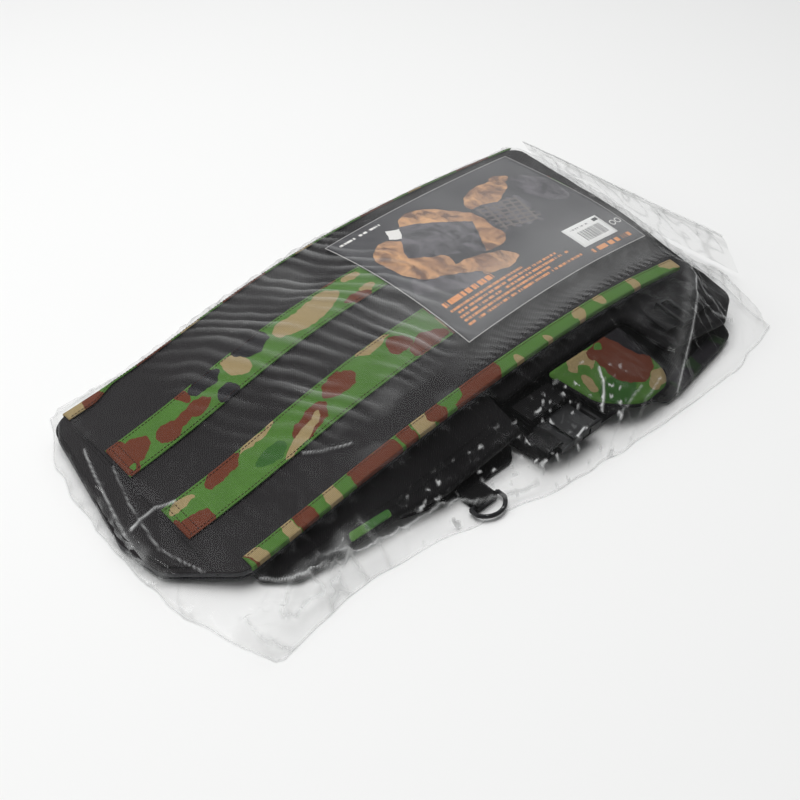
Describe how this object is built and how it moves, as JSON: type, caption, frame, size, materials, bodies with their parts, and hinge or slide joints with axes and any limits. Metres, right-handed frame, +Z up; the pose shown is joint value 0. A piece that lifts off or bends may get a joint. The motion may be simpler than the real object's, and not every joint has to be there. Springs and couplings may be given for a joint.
{
  "type": "packed harness vest",
  "caption": "Padded harness vest folded flat with printed webbing straps and edge tape, under a printed card in a clear film bag that draws off endwise.",
  "frame": {"origin": "bottom centre of the whole pack as it lies on a table", "axes": "+X along the folded vest from its thin hem end to its thick shoulder end, +Y across it towards the far long edge, +Z up"},
  "size_m": [0.656, 0.3717, 0.0796],
  "materials": {
    "clear_film": "clear polyethylene film, glossy",
    "adhesive_strip": "clear tacky strip",
    "black_nylon": "ribbed black nylon cloth",
    "black_lining": "black mesh lining",
    "foam": "closed cell foam",
    "camo_webbing": "woven webbing printed green, brown, tan and black",
    "camo_tape": "edge tape printed green, brown, tan and black",
    "camo_cloth": "cloth printed green, brown, tan and black",
    "black_webbing": "woven black webbing",
    "thread": "dark sewing thread",
    "black_acetal": "moulded black acetal",
    "ring_steel": "black painted steel rod",
    "card_print": "coated card, printed dark",
    "label_paper": "white paper label"
  },
  "bodies": {
    "vest": {"back_panel_shell": "black_nylon", "back_panel_foam": "foam", "back_panel_lining": "black_lining", "end_hem_band": "black_nylon", "strap_far": "camo_webbing", "strap_near": "camo_webbing", "strap_end_stitching": "thread", "binding_near": "camo_tape", "binding_far": "camo_tape", "front_panel_left": "black_nylon", "front_panel_right": "black_nylon", "front_strap": "camo_webbing", "shoulder_pad_left": "black_nylon", "shoulder_pad_right": "black_nylon", "waist_belt": "black_nylon", "belt_tail": "black_nylon", "waist_belt_binding": "camo_tape", "pocket_body": "black_nylon", "buckle_socket": "black_acetal", "webbing_bundle": "black_webbing", "d_ring_tab": "black_webbing", "adjuster_webbing": "black_webbing"},
    "bag": {"bag_back_film": "clear_film", "bag_front_film": "clear_film"},
    "bag_closure": {"bag_flap": "clear_film", "flap_adhesive_strip": "adhesive_strip"},
    "card": {"product_card": "card_print", "barcode_label": "label_paper"},
    "pocket_lid": {"pocket_flap": "camo_cloth", "pocket_flap_trim": "black_webbing"},
    "plug": {"buckle_plug": "black_acetal", "plug_webbing": "black_webbing"},
    "prong_near": {"buckle_prong_near": "black_acetal"},
    "prong_far": {"buckle_prong_far": "black_acetal"},
    "ring": {"d_ring": "ring_steel"},
    "slider": {"strap_slider": "black_acetal"}
  },
  "joints": [
    {"name": "bag_pull_off", "type": "slide", "parent": "vest", "child": "bag", "axis": [-1, 0, 0], "range_m": [0, 0.75], "deforming": ["bag_front_film", "bag_flap", "flap_adhesive_strip"]},
    {"name": "closure_open", "type": "hinge", "parent": "bag", "child": "bag_closure", "pos_m": [0.3265, 0.02, 0.0052], "axis": [0, 1, 0], "range_deg": [0, 131]},
    {"name": "card_draw", "type": "slide", "parent": "vest", "child": "card", "axis": [0.9994, 0, 0.0349], "range_m": [0, 0.12]},
    {"name": "pocket_open", "type": "hinge", "parent": "vest", "child": "pocket_lid", "pos_m": [0.09, -0.103, 0.039], "axis": [-1, 0, 0], "range_deg": [0, 80]},
    {"name": "buckle_pull", "type": "slide", "parent": "vest", "child": "plug", "axis": [-1, 0, 0], "range_m": [0, 0.036], "deforming": ["buckle_prong_near", "buckle_prong_far"]},
    {"name": "prong_squeeze", "type": "hinge", "parent": "plug", "child": "prong_near", "pos_m": [0.0116, -0.15485, 0.0176], "axis": [0, 0, 1], "range_deg": [0, 8], "stiffness_Nm_per_rad": 0.02},
    {"name": "prong_squeeze_far", "type": "hinge", "parent": "plug", "child": "prong_far", "pos_m": [0.0116, -0.13115, 0.0176], "axis": [0, 0, -1], "range_deg": [0, 8]},
    {"name": "ring_swing", "type": "hinge", "parent": "vest", "child": "ring", "pos_m": [-0.081, -0.146, 0.0046], "axis": [-1, 0, 0], "range_deg": [0, 95]},
    {"name": "slider_shift", "type": "slide", "parent": "vest", "child": "slider", "axis": [0.9962, 0.0151, -0.0858], "range_m": [-0.015, 0.03]}
  ],
  "couplings": [
    {"joint": "closure_open", "follows": "bag_pull_off", "rad_per_m": 3.048},
    {"joint": "card_draw", "follows": "bag_pull_off", "ratio": 0.1599},
    {"joint": "pocket_open", "follows": "bag_pull_off", "rad_per_m": 1.861},
    {"joint": "prong_squeeze_far", "follows": "prong_squeeze", "ratio": 1}
  ]
}
